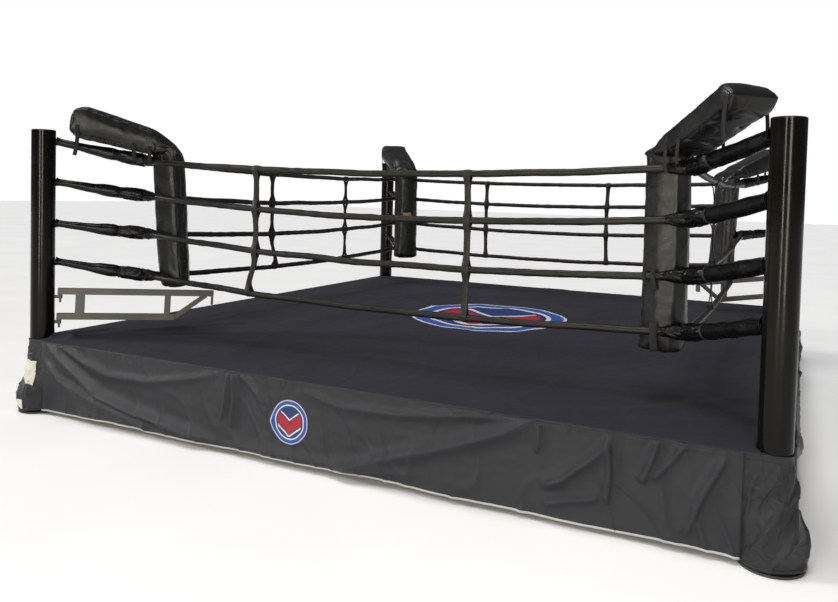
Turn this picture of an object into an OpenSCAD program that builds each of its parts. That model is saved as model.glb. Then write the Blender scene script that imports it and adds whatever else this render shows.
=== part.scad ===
// Low floor-standing boxing ring: four steel posts, a padded deck with skirts,
// four covered ropes on each side, turnbuckles, folded-over corner pads and
// two swing arms on opposite posts.
// Millimetres, +Z up. The origin is the centre of the ring on the floor,
// +X runs to the right along the front side and +Y to the rear side.

/* [Ring] */
// Distance between neighbouring post axes
span = 5000; // [4400:100:6000]
// Height of the canvas above the floor
platform_h = 530; // [500:10:600]
// Distance from a post axis to the rope junction along the diagonal
junction_d = 670; // [640:10:720]

/* [Posts] */
// Outside diameter of a corner post
post_d = 159; // [150:1:170]
// Height of the post top above the canvas
post_rise = 1530; // [1510:10:1600]
// Wall thickness of the post tube
post_wall = 6; // [4:1:8]
// Diameter of the round base plate
base_d = 300; // [290:5:310]
// Thickness of the base plate
base_t = 12; // [10:1:16]
// Diameter of the anchor hole circle
anchor_pcd = 240; // [230:5:250]
// Radius of an anchor hole
anchor_hole_r = 9; // [7:0.5:10]

/* [Ropes] */
// Diameter of a covered rope
rope_d = 44; // [36:1:48]
// Height of the lowest rope above the canvas at the post
rope_1 = 555; // [540:5:570]
// Height of the second rope above the canvas at the post
rope_2 = 840; // [820:5:860]
// Height of the third rope above the canvas at the post
rope_3 = 1145; // [1130:5:1160]
// Height of the top rope above the canvas at the post
rope_4 = 1440; // [1430:5:1445]
// Sag of the lowest rope at the middle of a side
lower_sag = 62; // [40:2:76]

/* [Deck] */
// Thickness of the canvas
canvas_t = 3; // [2:0.5:4]
// Thickness of the foam mat
foam_t = 25; // [20:1:40]
// Thickness of the plywood deck
ply_t = 18; // [15:1:21]
// Height of the perimeter beams
beam_h = 120; // [100:5:150]
// Number of joists under the deck
joist_count = 7; // [5:2:9]

/* [Corner pads] */
// Width of a corner pad
pad_w = 320; // [280:5:330]
// Height above the canvas of the bottom of the pad over the swing arm
pad_bottom = 362; // [362:1:380]

/* [Swing arms] */
// Size of the square tube of a swing arm
arm_tube = 45; // [35:1:48]
// Length of the upper rail beyond the pivot
arm_len = 1062; // [900:2:1100]
// Droop of an arm below level, in degrees
arm_droop = 2.2; // [0:0.1:3]
// Radius of the pivot pins
pivot_r = 8; // [7:0.5:9]

/* [Hidden] */
post_r = post_d / 2;
post_top = platform_h + post_rise;
half = span / 2;
edge = half + post_r + 1;
junction = half - junction_d / sqrt(2);
hair = 0.3;
running = 0.08;
cap_t = 10;
corner_x = [-half, half, half, -half];
corner_y = [-half, -half, half, half];
corner_turn = [45, 135, 225, 315];
rope_post_z = [for (h = [rope_1, rope_2, rope_3, rope_4]) platform_h + h];
rope_sides = 8;
rope_steps = 12;

// Fall of each rope from its lug to its junction, lowest rope first, for each post
rope_fall = [
  [100, 65, 80, 105], [133, 110, 105, 120], [78, 50, 40, 112], [105, 75, 75, 135]];
function junction_z(k, i) = rope_post_z[i] - rope_fall[k][i];

// Sag added to the lowest rope's for each side, lowest rope first
more_sag = [[0, 14, 16, 4], [0, 0, 0, -10], [0, 0, 0, -22], [0, 0, 0, -17]];
function sag(k, i) = lower_sag + more_sag[k][i];

// Turnbuckle, measured from the lug pin towards the junction
lug_pin_d = 125;
lug_t = 10;
pin_r = 6.3;
rod_r = 8;
barrel_r = 16;
barrel_from = 120;
barrel_len = 260;
barrel_hex_r = 19;
barrel_hex_len = 30;
rod_overlap = 60;
eye_r = 26;
eye_wire = 6;
ring_r = 34;
ring_wire = 6;
eye_reach = ring_r + eye_r - 2 * ring_wire - 1;
eyebolt_reach = eye_reach - 4;
rope_end = eye_reach + eye_r + eye_wire + hair;
reach = junction_d - lug_pin_d;
function tb_len(k, i) = norm([reach, rope_fall[k][i]]);
function tb_slope(k, i) = atan(rope_fall[k][i] / reach);

// Sleeve over a turnbuckle
sleeve_t = 4;
sleeve_neck = 31;
sleeve_body = 50;
sleeve_start = -30;
sleeve_past = 12;

// Deck levels
canvas_z = platform_h - canvas_t;
foam_z = canvas_z - foam_t;
ply_z = foam_z - ply_t;
beam_z = ply_z - beam_h;
joist_h = 80;
joist_w = 50;
beam_w = 60;
beam_out = half + 70;
beam_end = half - 95;
foot_t = 8;

// Skirt planes, outside the deck edge
skirt_t = 5;
skirt_in = edge + 3;
wrap_flap = 160;
wrap_flare_r = 156;
wrap_flare_z = 150;
wrap_neck_z = 330;
skirt_end = half - wrap_flap - 2;

// Corner pads, post by post: bottom height, lean, height added to the end by the
// post, flattening of the back of the fold, and tuck of the end's underside
pad_low = [pad_bottom, 285, 355, 338];
pad_lean = [3, 0, 2, 2];
pad_lift = [0, 15, 0, 45];
pad_flat = [0, 60, 50, 30];
pad_tuck = [0, 80, 30, 30];
fold_z = 1400;

// Spacers: distance along each side, seen from outside, left one first
spacer_at = [[-930, 700], [-800, 800], [-620, 845], [-770, 490]];
spacer_w = 50;
spacer_t = 12;
collar_bore = rope_d / 2 + 1.5;

// Swing arms
pivot_d = post_r + 34;
rail_gap = 94;
arm_mid_z = platform_h + 246;
lower_rail = 800;
strut_foot = 802;
strut_head = 985;
arm_wall = 3;

// ---- placing ----

// Children stand at post k with +X pointing at the ring's centre
module at_corner(k) {
  translate([corner_x[k], corner_y[k], 0])
    rotate([0, 0, corner_turn[k]])
      children();
}

// Children stand on the front side and are turned to side k
module at_side(k) {
  rotate([0, 0, 90 * k]) children();
}

// Children lie along turnbuckle i of post k, from the lug pin
module at_turnbuckle(k, i) {
  at_corner(k)
    translate([lug_pin_d, 0, rope_post_z[i]])
      rotate([0, tb_slope(k, i), 0])
        children();
}

// A ring of round wire in the XZ plane
module upright_ring(r, wire) {
  rotate([90, 0, 0])
    rotate_extrude($fn = 48)
      translate([r, 0])
        circle(r = wire, $fn = 24);
}

// A square tube along +X, centred on the axis
module square_tube(length, size, wall) {
  difference() {
    translate([0, -size / 2, -size / 2])
      cube([length, size, size]);
    translate([-1, -size / 2 + wall, -size / 2 + wall])
      cube([length + 2, size - 2 * wall, size - 2 * wall]);
  }
}

// ---- posts ----

module post(k) {
  color([0.03, 0.03, 0.03])
    at_corner(k)
      translate([0, 0, base_t])
        difference() {
          cylinder(r = post_r, h = post_top - cap_t - base_t, $fn = 96);
          translate([0, 0, -1])
            cylinder(r = post_r - post_wall, h = post_top, $fn = 96);
        }
}

module post_caps() {
  color([0.04, 0.04, 0.04])
    for (k = [0:3])
      at_corner(k)
        translate([0, 0, post_top - cap_t])
          rotate_extrude($fn = 96)
            polygon([
              [0, 0], [post_r, 0], [post_r, cap_t - 4],
              [post_r - 6, cap_t], [0, cap_t]]);
}

// Round plate with four anchor holes and four gussets round the post
module post_base() {
  foot = base_d / 2 - post_r - 8;
  rise = 120;
  difference() {
    cylinder(d = base_d, h = base_t, $fn = 96);
    for (a = [0:90:270])
      rotate([0, 0, a])
        translate([anchor_pcd / 2, 0, -1])
          cylinder(r = anchor_hole_r, h = base_t + 2, $fn = 32);
  }
  for (a = [45:90:315])
    rotate([0, 0, a])
      translate([post_r + hair, 4, base_t])
        rotate([90, 0, 0])
          linear_extrude(8)
            polygon([[0, 0], [foot, 0], [foot, 12], [12, rise], [0, rise]]);
}

module post_bases() {
  color([0.1, 0.1, 0.1])
    for (k = [0:3])
      at_corner(k)
        post_base();
}

// ---- deck ----

module perimeter_beams() {
  color([0.25, 0.25, 0.27])
    for (k = [0:3])
      at_side(k)
        translate([-beam_end, -beam_out + beam_w / 2, beam_z + beam_h / 2])
          difference() {
            translate([0, -beam_w / 2, -beam_h / 2])
              cube([2 * beam_end, beam_w, beam_h]);
            translate([-1, -beam_w / 2 + 4, -beam_h / 2 + 4])
              cube([2 * beam_end + 2, beam_w - 8, beam_h - 8]);
          }
}

// Blocks welded to a post that carry the ends of the beams
module beam_saddles() {
  color([0.25, 0.25, 0.27])
    for (k = [0:3])
      at_side(k)
        for (side = [-1, 1])
          difference() {
            translate([side > 0 ? beam_end + hair : -half, -beam_out, beam_z])
              cube([half - beam_end - hair, beam_w, beam_h]);
            translate([side * half, -half, beam_z - 1])
              cylinder(r = post_r + hair, h = beam_h + 2, $fn = 96);
          }
}

module floor_joists() {
  inner = beam_out - beam_w;
  pitch = 2 * inner / (joist_count + 1);
  color([0.3, 0.3, 0.32])
    for (j = [1:joist_count])
      translate([-inner + j * pitch, -inner, ply_z - joist_h / 2])
        rotate([0, 0, 90])
          difference() {
            translate([0, -joist_w / 2, -joist_h / 2])
              cube([2 * inner, joist_w, joist_h]);
            translate([-1, -joist_w / 2 + 3, -joist_h / 2 + 3])
              cube([2 * inner + 2, joist_w - 6, joist_h - 6]);
          }
}

module support_legs() {
  inner = beam_out - beam_w;
  pitch = 2 * inner / (joist_count + 1);
  leg_r = 24;
  foot_r = 60;
  color([0.3, 0.3, 0.32])
    for (j = [1:joist_count], row = [-1, 0, 1])
      translate([-inner + j * pitch, row * half / 2, 0]) {
        cylinder(r = foot_r, h = foot_t, $fn = 48);
        cylinder(r = leg_r, h = ply_z - joist_h, $fn = 48);
      }
}

// Square deck outline with a square notch at each post
module deck_outline(reach_out, notch) {
  inner = half - notch;
  square([2 * reach_out, 2 * inner], center = true);
  square([2 * inner, 2 * reach_out], center = true);
}

module plywood_panels() {
  sheet_half = edge - 12;
  cols = 4;
  rows = 2;
  gap = 2;
  w = 2 * sheet_half / cols;
  l = 2 * sheet_half / rows;
  color([0.72, 0.56, 0.36])
    for (c = [0:cols - 1], r = [0:rows - 1])
      translate([0, 0, ply_z])
        linear_extrude(ply_t)
          intersection() {
            deck_outline(sheet_half, 100);
            translate([-sheet_half + c * w + gap / 2, -sheet_half + r * l + gap / 2])
              square([w - gap, l - gap]);
          }
}

module foam_mat() {
  color([0.35, 0.35, 0.38])
    translate([0, 0, foam_z])
      linear_extrude(foam_t)
        deck_outline(edge - 5, 95);
}

module floor_canvas() {
  color([0.10, 0.11, 0.15])
    translate([0, 0, canvas_z])
      linear_extrude(canvas_t)
        difference() {
          deck_outline(edge, 0);
          for (k = [0:3])
            translate([corner_x[k], corner_y[k]])
              circle(r = post_r + hair, $fn = 96);
        }
}

module side_skirt(k) {
  color([0.16, 0.16, 0.17])
    at_side(k)
      translate([-skirt_end, -skirt_in - skirt_t, 0])
        cube([2 * skirt_end, skirt_t, platform_h - 1]);
}

// Cross-section of a corner skirt, measured out from the post axis
module corner_skirt_section() {
  near = skirt_in - half;
  top = platform_h - 1;
  polygon([
    [near, top], [near + skirt_t, top], [near + skirt_t, wrap_neck_z],
    [wrap_flare_r, wrap_flare_z], [wrap_flare_r, 0],
    [wrap_flare_r - skirt_t, 0], [wrap_flare_r - skirt_t, wrap_flare_z],
    [near, wrap_neck_z]]);
}

module corner_skirt(k) {
  color([0.16, 0.16, 0.17])
    at_corner(k) {
      rotate([0, 0, 135])
        rotate_extrude(angle = 90, $fn = 96)
          corner_skirt_section();
      for (side = [0, 1])
        mirror([0, side, 0])
          rotate([0, 0, 135])
            rotate([90, 0, 0])
              linear_extrude(wrap_flap)
                corner_skirt_section();
    }
}

// ---- ropes ----

// Radius of the arc of rope i on side k
function arc_r(k, i) = (junction * junction + sag(k, i) * sag(k, i)) / (2 * sag(k, i));

// Depth of that arc below its ends, at a distance x from the middle of the side
function arc_dip(k, i, x) =
  sag(k, i) - arc_r(k, i) + sqrt(arc_r(k, i) * arc_r(k, i) - x * x);

// Height of rope i of side k, which runs from junction k to the next one
function rope_z(k, i, x) =
  let (a = junction_z(k, i), b = junction_z((k + 1) % 4, i))
    (a + b) / 2 + (b - a) * x / (2 * junction) - arc_dip(k, i, x);

// Eight-sided cross-section of a rope at a distance x from the middle
function rope_ring(k, i, x) = [
  for (s = [0:rope_sides - 1])
    let (a = 360 * s / rope_sides)
      [x, rope_d / 2 * cos(a) - junction, rope_z(k, i, x) + rope_d / 2 * sin(a)]];

// Side faces between ring j and the next one
function ring_faces(j) = [
  for (s = [0:rope_sides - 1])
    let (t = (s + 1) % rope_sides)
      [j * rope_sides + s, (j + 1) * rope_sides + s,
       (j + 1) * rope_sides + t, j * rope_sides + t]];

// One sagging rope with a spliced eye at each end
module rope(k, i) {
  tip = junction - rope_end;
  eye_x = junction - eye_reach;
  last = rope_steps * rope_sides;
  polyhedron(
    points = [
      for (j = [0:rope_steps])
        each rope_ring(k, i, tip * (2 * j / rope_steps - 1))],
    faces = [
      [for (s = [0:rope_sides - 1]) s],
      for (j = [0:rope_steps - 1]) each ring_faces(j),
      [for (s = [rope_sides - 1:-1:0]) last + s]]);
  for (x = [-eye_x, eye_x])
    translate([x, -junction, rope_z(k, i, x)])
      upright_ring(eye_r, eye_wire);
}

module ropes(k) {
  color([0.07, 0.07, 0.07])
    at_side(k)
      for (i = [0:3])
        rope(k, i);
}

// A strap between the top and lowest ropes, looped round each rope
module rope_spacer(k, x) {
  low = rope_z(k, 0, x);
  difference() {
    union() {
      translate([x - spacer_w / 2, -junction - spacer_t / 2, low])
        cube([spacer_w, spacer_t, rope_z(k, 3, x) - low]);
      for (i = [0:3])
        translate([x - spacer_w / 2, -junction, rope_z(k, i, x)])
          rotate([0, 90, 0])
            cylinder(r = collar_bore + 4, h = spacer_w, $fn = 48);
    }
    for (i = [0:3])
      translate([x - spacer_w, -junction, rope_z(k, i, x)])
        rotate([0, 90, 0])
          cylinder(r = collar_bore, h = 2 * spacer_w, $fn = 48);
  }
}

module rope_spacers() {
  color([0.12, 0.11, 0.10])
    for (k = [0:3])
      at_side(k)
        for (x = spacer_at[k])
          rope_spacer(k, x);
}

// ---- turnbuckles ----

module junction_rings() {
  color([0.6, 0.6, 0.62])
    for (k = [0:3], i = [0:3])
      at_corner(k)
        translate([junction_d, 0, junction_z(k, i)])
          rotate_extrude($fn = 48)
            translate([ring_r, 0])
              circle(r = ring_wire, $fn = 24);
}

module rope_lugs() {
  lug_end = lug_pin_d + 16;
  lug_h = 36;
  color([0.05, 0.05, 0.05])
    for (k = [0:3], i = [0:3])
      at_corner(k)
        translate([0, 0, rope_post_z[i]])
          difference() {
            translate([post_r - 10, -lug_t / 2, -lug_h / 2])
              cube([lug_end - post_r + 10, lug_t, lug_h]);
            translate([0, 0, -lug_h])
              cylinder(r = post_r + hair, h = 2 * lug_h, $fn = 96);
            translate([lug_pin_d, lug_t, 0])
              rotate([90, 0, 0])
                cylinder(r = pin_r + 0.2, h = 2 * lug_t, $fn = 32);
          }
}

module lug_pins() {
  color([0.6, 0.6, 0.62])
    for (k = [0:3], i = [0:3])
      at_corner(k)
        translate([lug_pin_d, 16, rope_post_z[i]])
          rotate([90, 0, 0]) {
            cylinder(r = pin_r, h = 31, $fn = 32);
            translate([0, 0, -3])
              cylinder(r = pin_r + 3, h = 3, $fn = 32);
          }
}

// Fork on the lug pin with the post-side rod
module clevis() {
  ear_t = 6;
  ear_h = 28;
  ear_back = 12;
  bridge_from = 20;
  bridge_t = 14;
  difference() {
    union() {
      for (side = [-1, 1])
        translate([-ear_back, side * (lug_t / 2 + ear_t / 2 + 1) - ear_t / 2, -ear_h / 2])
          cube([bridge_from + ear_back, ear_t, ear_h]);
      translate([bridge_from, -lug_t / 2 - ear_t - 1, -ear_h / 2])
        cube([bridge_t, lug_t + 2 * ear_t + 2, ear_h]);
      rotate([0, 90, 0])
        translate([0, 0, bridge_from + bridge_t])
          cylinder(r = rod_r, h = barrel_from + rod_overlap - bridge_from - bridge_t, $fn = 48);
    }
    translate([0, 30, 0])
      rotate([90, 0, 0])
        cylinder(r = pin_r + 0.2, h = 60, $fn = 32);
  }
}

// Rope-side rod with the eye that hangs on the junction ring
module eyebolt(k, i) {
  from = barrel_from + barrel_len - rod_overlap;
  eye_at = tb_len(k, i) - eyebolt_reach;
  translate([eye_at, 0, 0])
    upright_ring(eye_r, eye_wire);
  translate([from, 0, 0])
    rotate([0, 90, 0])
      cylinder(r = rod_r, h = eye_at - eye_r - from, $fn = 48);
}

module turnbuckle_rods() {
  color([0.55, 0.55, 0.57])
    for (k = [0:3], i = [0:3])
      at_turnbuckle(k, i) {
        clevis();
        eyebolt(k, i);
      }
}

// Barrel with hexagonal ends and a cross hole for the turning bar
module barrel(k, i) {
  color([0.62, 0.63, 0.65])
    at_turnbuckle(k, i)
      translate([barrel_from, 0, 0])
        rotate([0, 90, 0])
          difference() {
            union() {
              cylinder(r = barrel_r, h = barrel_len, $fn = 48);
              for (z = [0, barrel_len - barrel_hex_len])
                translate([0, 0, z])
                  cylinder(r = barrel_hex_r, h = barrel_hex_len, $fn = 6);
            }
            translate([0, 0, -1])
              cylinder(r = rod_r + running, h = barrel_len + 2, $fn = 48);
            translate([0, 30, barrel_len / 2])
              rotate([90, 0, 0])
                cylinder(r = 6, h = 60, $fn = 32);
          }
}

// Vinyl sleeve from the post to the junction
module sleeve(k, i) {
  end = tb_len(k, i) + sleeve_past;
  rotate([0, 90, 0])
    rotate_extrude($fn = 64)
      polygon([
        [sleeve_neck - sleeve_t, sleeve_start], [sleeve_neck, sleeve_start],
        [sleeve_neck, 40], [sleeve_body, 110], [sleeve_body, end],
        [sleeve_body - sleeve_t, end], [sleeve_body - sleeve_t, 112],
        [sleeve_neck - sleeve_t, 42]]);
}

module sleeves(k) {
  color([0.05, 0.05, 0.05])
    for (i = [0:3])
      at_turnbuckle(k, i)
        sleeve(k, i);
}

// ---- corner pads ----

// Plan of the upright part: a wedge behind, between the ropes, and a round front
module pad_plan() {
  wide = pad_w / 2;
  wedge = junction_d + 34;
  back = junction_d + 75;
  shoulder = wedge + wide;
  polygon([
    [back, back - wedge], [shoulder, wide], [shoulder + 42, wide],
    [shoulder + 84, wide - 45], [shoulder + 98, 0],
    [shoulder + 84, 45 - wide], [shoulder + 42, -wide],
    [shoulder, -wide], [back, wedge - back]]);
}

// Underside of the folded part, from its end by the post to the upright part
function pad_under(k) =
  let (lift = pad_lift[k], tuck = pad_tuck[k])
    [[165 + tuck, 1505 + lift + tuck * 0.7], [300, 1472 + lift / 2 + tuck],
     [700, 1392], [948, 1392]];

// Side view of the part that folds back over the top turnbuckle
module pad_top_profile(k) {
  lift = pad_lift[k];
  flat = pad_flat[k];
  polygon(concat(pad_under(k), [
    [930, 1430], [850, 1495 - flat], [765, 1558 + lift / 5 - flat],
    [520, 1637 + (lift - flat) / 2], [275, 1712 + lift],
    [190, 1685 + lift - pad_tuck[k] / 2]]));
}

module corner_pad(k) {
  low = pad_low[k];
  back = junction_d + 75;
  color([0.06, 0.06, 0.06])
    at_corner(k)
      translate([0, 0, platform_h]) {
        intersection() {
          translate([back, 0, fold_z])
            rotate([0, -pad_lean[k], 0])
              translate([-back, 0, low - fold_z - 60])
                linear_extrude(fold_z - low + 60)
                  pad_plan();
          translate([0, -pad_w, low])
            cube([1500, 2 * pad_w, 1600]);
        }
        translate([0, pad_w / 2, 0])
          rotate([90, 0, 0])
            linear_extrude(pad_w)
              pad_top_profile(k);
      }
}

// Tails of the straps that hang from the folded part: distance from the post, length
module pad_straps() {
  tails = [[250, 165], [560, 180], [640, 174]];
  strap_w = 28;
  color([0.08, 0.08, 0.08])
    for (k = [0:3])
      at_corner(k)
        for (tail = tails) {
          under = lookup(tail[0] + strap_w, pad_under(k));
          top = platform_h + under - hair;
          translate([tail[0], sleeve_body + 8, top - tail[1]])
            cube([strap_w, 3, tail[1]]);
        }
}

// ---- swing arms ----

// Children move with the arm at post k, from the middle of its pivot line
module in_arm(k) {
  at_corner(k)
    translate([pivot_d, 0, arm_mid_z])
      rotate([0, arm_droop, 0])
        children();
}

// Two rails, two uprights, a slanted strut and an end tab
module swing_arm(k) {
  back = -17;
  post_gap = arm_tube / 2 + hair;
  upright_h = 2 * rail_gap - 2 * post_gap;
  strut_a = atan((2 * rail_gap - arm_tube) / (strut_head - strut_foot));
  strut_w = 34;
  color([0.20, 0.17, 0.15])
    in_arm(k) {
      translate([back, 0, rail_gap])
        square_tube(arm_len - back, arm_tube, arm_wall);
      translate([back, 0, -rail_gap])
        square_tube(lower_rail - back, arm_tube, arm_wall);
      for (upright = [[134, 60], [744, 45]])
        translate([upright[0] - upright[1] / 2, -arm_tube / 2, -upright_h / 2])
          cube([upright[1], arm_tube, upright_h]);
      intersection() {
        translate([strut_foot, 0, -rail_gap])
          rotate([0, -strut_a, 0])
            translate([0, -strut_w / 2, -strut_w / 2])
              cube([280, strut_w, strut_w]);
        translate([lower_rail + hair, -arm_tube, -rail_gap - arm_tube / 2])
          cube([arm_len, 2 * arm_tube, 2 * rail_gap - hair]);
      }
      translate([arm_len + hair, -arm_tube / 2, rail_gap + arm_tube / 2 - 110])
        cube([18, arm_tube, 110]);
    }
}

// Pins that hang an arm in the eyes on its post
module swing_arm_pintles(k) {
  color([0.35, 0.33, 0.30])
    in_arm(k)
      for (z = [-rail_gap, rail_gap])
        translate([0, 0, z - arm_tube / 2 - hair]) {
          translate([0, 0, -60])
            cylinder(r = pivot_r, h = 60, $fn = 48);
          translate([0, 0, -6])
            cylinder(r = pivot_r + 5, h = 6, $fn = 48);
        }
}

// Eyes welded to the posts for the pins
module swing_arm_eyes() {
  eye_top = -arm_tube / 2 - hair - 6 - hair;
  eye_h = 24;
  eye_out = 15;
  color([0.20, 0.17, 0.15])
    for (k = [0, 2])
      difference() {
        in_arm(k)
          for (z = [-rail_gap, rail_gap])
            translate([0, 0, z + eye_top - eye_h])
              difference() {
                union() {
                  cylinder(r = eye_out, h = eye_h, $fn = 48);
                  translate([-40, -8, 0])
                    cube([30, 16, eye_h]);
                }
                translate([0, 0, -1])
                  cylinder(r = pivot_r + running, h = eye_h + 2, $fn = 48);
              }
        at_corner(k)
          cylinder(r = post_r + hair, h = post_top, $fn = 96);
      }
}

// ---- output ----

post(0);  // post_front_left
post(1);  // post_front_right
post(2);  // post_rear_right
post(3);  // post_rear_left
post_caps();
post_bases();
perimeter_beams();
beam_saddles();
floor_joists();
support_legs();
plywood_panels();
foam_mat();
floor_canvas();
side_skirt(0);  // skirt_front
side_skirt(1);  // skirt_right
side_skirt(2);  // skirt_rear
side_skirt(3);  // skirt_left
corner_skirt(0);  // corner_skirt_front_left
corner_skirt(1);  // corner_skirt_front_right
corner_skirt(2);  // corner_skirt_rear_right
corner_skirt(3);  // corner_skirt_rear_left
ropes(0);  // ropes_front
ropes(1);  // ropes_right
ropes(2);  // ropes_rear
ropes(3);  // ropes_left
rope_spacers();
junction_rings();
rope_lugs();
lug_pins();
turnbuckle_rods();
barrel(0, 0);  // turnbuckle_front_left_1
barrel(0, 1);  // turnbuckle_front_left_2
barrel(0, 2);  // turnbuckle_front_left_3
barrel(0, 3);  // turnbuckle_front_left_4
barrel(1, 0);  // turnbuckle_front_right_1
barrel(1, 1);  // turnbuckle_front_right_2
barrel(1, 2);  // turnbuckle_front_right_3
barrel(1, 3);  // turnbuckle_front_right_4
barrel(2, 0);  // turnbuckle_rear_right_1
barrel(2, 1);  // turnbuckle_rear_right_2
barrel(2, 2);  // turnbuckle_rear_right_3
barrel(2, 3);  // turnbuckle_rear_right_4
barrel(3, 0);  // turnbuckle_rear_left_1
barrel(3, 1);  // turnbuckle_rear_left_2
barrel(3, 2);  // turnbuckle_rear_left_3
barrel(3, 3);  // turnbuckle_rear_left_4
sleeves(0);  // sleeves_front_left
sleeves(1);  // sleeves_front_right
sleeves(2);  // sleeves_rear_right
sleeves(3);  // sleeves_rear_left
corner_pad(0);  // corner_pad_front_left
corner_pad(1);  // corner_pad_front_right
corner_pad(2);  // corner_pad_rear_right
corner_pad(3);  // corner_pad_rear_left
pad_straps();
swing_arm(0);  // swing_arm_front_left
swing_arm(2);  // swing_arm_rear_right
swing_arm_pintles(0);  // swing_arm_pintles_front_left
swing_arm_pintles(2);  // swing_arm_pintles_rear_right
swing_arm_eyes();
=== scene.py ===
import math

import bpy
import numpy as np
from mathutils import Matrix, Vector
from mathutils.bvhtree import BVHTree
from mathutils.kdtree import KDTree


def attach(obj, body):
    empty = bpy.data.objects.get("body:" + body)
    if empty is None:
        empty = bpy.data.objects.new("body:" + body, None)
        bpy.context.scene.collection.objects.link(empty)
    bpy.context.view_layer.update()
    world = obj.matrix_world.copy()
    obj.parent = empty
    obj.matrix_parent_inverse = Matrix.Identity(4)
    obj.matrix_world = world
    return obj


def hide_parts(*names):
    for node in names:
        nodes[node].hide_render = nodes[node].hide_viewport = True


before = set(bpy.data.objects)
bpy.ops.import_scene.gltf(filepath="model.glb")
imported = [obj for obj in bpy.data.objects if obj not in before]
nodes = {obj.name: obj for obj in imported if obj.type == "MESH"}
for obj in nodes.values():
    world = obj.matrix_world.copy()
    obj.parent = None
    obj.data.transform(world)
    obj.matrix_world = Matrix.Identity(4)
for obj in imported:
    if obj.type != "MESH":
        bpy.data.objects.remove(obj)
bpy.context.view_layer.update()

# ---- camera ----

lens = bpy.data.cameras.new("camera")
lens.sensor_width = 36
lens.lens = 31.651
lens.shift_x = -0.05264
lens.shift_y = -0.09609
lens.clip_end = 300
camera = bpy.data.objects.new("camera", lens)
bpy.context.scene.collection.objects.link(camera)
aim = (
    Matrix.Rotation(0.42398, 3, "Z")
    @ Matrix.Rotation(-0.03585, 3, "X")
    @ Matrix.Rotation(-0.02714, 3, "Y")
)
right, ahead, up = (aim @ Vector(v) for v in ((1, 0, 0), (0, 1, 0), (0, 0, 1)))
camera.matrix_world = (
    Matrix.Translation((2.54439, -6.16565, 1.67221))
    @ Matrix((right, up, -ahead)).transposed().to_4x4()
)
bpy.context.scene.camera = camera

# ---- sizes of the ring, in metres ----

HALF = 2.5
DECK = 0.53
POST_R = 0.0795
EDGE = HALF + POST_R + 0.001
JUNCTION_D = 0.67
JUNCTION = HALF - JUNCTION_D / math.sqrt(2)
PIN_D = 0.125
REACH = JUNCTION_D - PIN_D
ROPE_R = 0.022
ROPE_Z = [DECK + h for h in (0.555, 0.84, 1.145, 1.44)]
FALL = [
    [0.100, 0.065, 0.080, 0.105],
    [0.133, 0.110, 0.105, 0.120],
    [0.078, 0.050, 0.040, 0.112],
    [0.105, 0.075, 0.075, 0.135],
]
SAG = [
    [0.062, 0.076, 0.078, 0.066],
    [0.062, 0.062, 0.062, 0.052],
    [0.062, 0.062, 0.062, 0.040],
    [0.062, 0.062, 0.062, 0.045],
]
POSTS = ["front_left", "front_right", "rear_right", "rear_left"]
SIDES = ["front", "right", "rear", "left"]
SPACER_AT = [[-0.93, 0.70], [-0.80, 0.80], [-0.62, 0.845], [-0.77, 0.49]]
PAD_LOW = [0.362, 0.285, 0.355, 0.338]
PAD_LEAN = [3, 0, 2, 2]
PAD_LIFT = [0, 0.015, 0, 0.045]
PAD_FLAT = [0, 0.06, 0.05, 0.03]
PAD_TUCK = [0, 0.08, 0.03, 0.03]


def post_axes(k):
    """Post k's axis, the direction to the ring's centre and the one across it."""
    turn = math.radians(45 + 90 * k)
    x, y = [(-HALF, -HALF), (HALF, -HALF), (HALF, HALF), (-HALF, HALF)][k]
    inward = np.array([math.cos(turn), math.sin(turn), 0])
    across = np.array([-math.sin(turn), math.cos(turn), 0])
    return np.array([x, y, 0.0]), inward, across


def at_post(k, p):
    """Points given along post k's inward, across and upward directions."""
    origin, inward, across = post_axes(k)
    p = np.asarray(p, float)
    return origin + p[..., :1] * inward + p[..., 1:2] * across + p[..., 2:3] * np.array([0, 0, 1.0])


def at_side(k, p):
    """Points given on the front side, turned to side k."""
    c, s = [(1, 0), (0, 1), (-1, 0), (0, -1)][k]
    p = np.asarray(p, float)
    return np.stack([c * p[..., 0] - s * p[..., 1], s * p[..., 0] + c * p[..., 1], p[..., 2]], -1)


def rope_height(k, i, x):
    """Height of rope i of side k at a distance x from the side's middle."""
    sag = SAG[k][i]
    arc = (JUNCTION**2 + sag**2) / (2 * sag)
    a = ROPE_Z[i] - FALL[k][i]
    b = ROPE_Z[i] - FALL[(k + 1) % 4][i]
    dip = sag - arc + np.sqrt(arc**2 - np.asarray(x, float) ** 2)
    return (a + b) / 2 + (b - a) * x / (2 * JUNCTION) - dip


# ---- shape helpers ----


def step(a, b, x):
    t = np.clip((np.asarray(x, float) - a) / (b - a), 0, 1)
    return t * t * (3 - 2 * t)


def noise(p, size, seed, waves=28):
    """Smooth noise of about unit height, made of seeded waves about size long."""
    p = np.asarray(p, float)
    rng = np.random.default_rng(seed)
    k = rng.normal(size=(waves, p.shape[-1]))
    k *= (2 * np.pi / size) * rng.uniform(0.6, 1.5, (waves, 1)) / np.linalg.norm(k, axis=1, keepdims=True)
    shift = rng.uniform(0, 2 * np.pi, waves)
    out = np.zeros(p.shape[:-1])
    for a, b in zip(k, shift):
        out += np.cos(p @ a + b)
    return out * math.sqrt(2 / waves)


def crease(p, size, seed, width=0.3):
    """Narrow ridges along the zero lines of the noise."""
    return np.exp(-((noise(p, size, seed) / width) ** 2))


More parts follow.
